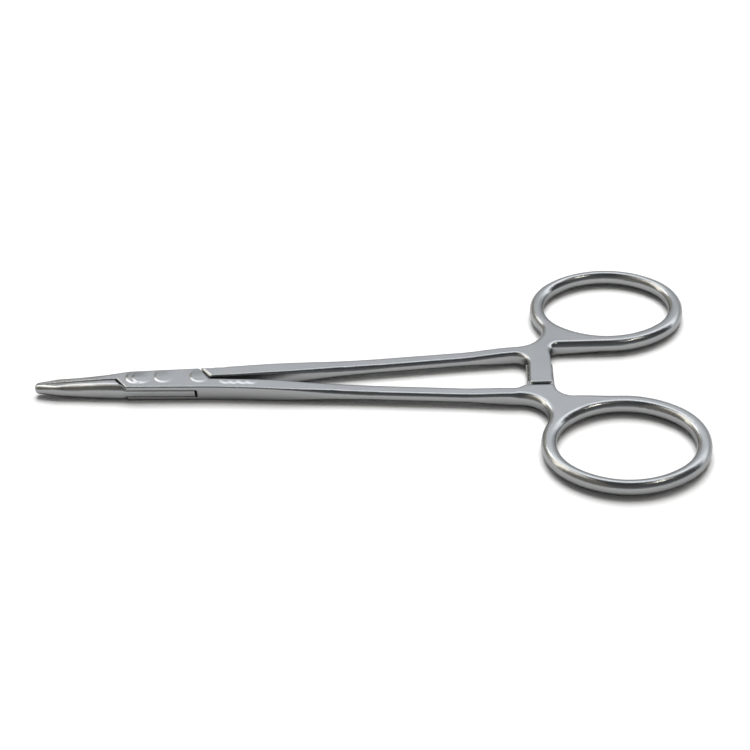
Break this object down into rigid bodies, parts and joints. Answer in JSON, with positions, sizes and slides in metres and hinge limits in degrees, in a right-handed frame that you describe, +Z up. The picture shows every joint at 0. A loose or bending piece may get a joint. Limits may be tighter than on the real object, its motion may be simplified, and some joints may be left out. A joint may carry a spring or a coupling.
{
  "type": "surgical needle holder",
  "caption": "Ring-handled surgical needle holder with short gripping jaws, a box lock, slender tapering shanks and overlapping ratchet arms, closed and lying flat.",
  "frame": {"origin": "on the axis of the pivot pin, at the plane that the box lock's underside rests on", "axes": "+X runs from the pivot towards the finger rings, +Z is up along the pivot's axis, and +Y points to the tongue half's ring"},
  "size_m": [0.13, 0.0684, 0.0034],
  "materials": {
    "satin_steel": "buffed satin stainless steel"
  },
  "bodies": {
    "box_side": {"box_half": "satin_steel", "pivot_pin": "satin_steel"},
    "tongue_side": {"tongue_half": "satin_steel"}
  },
  "joints": [
    {"name": "box_lock_hinge", "type": "hinge", "parent": "box_side", "child": "tongue_side", "pos_m": [0, 0, 0.0017], "axis": [0, 0, 1], "range_deg": [0, 60]}
  ]
}
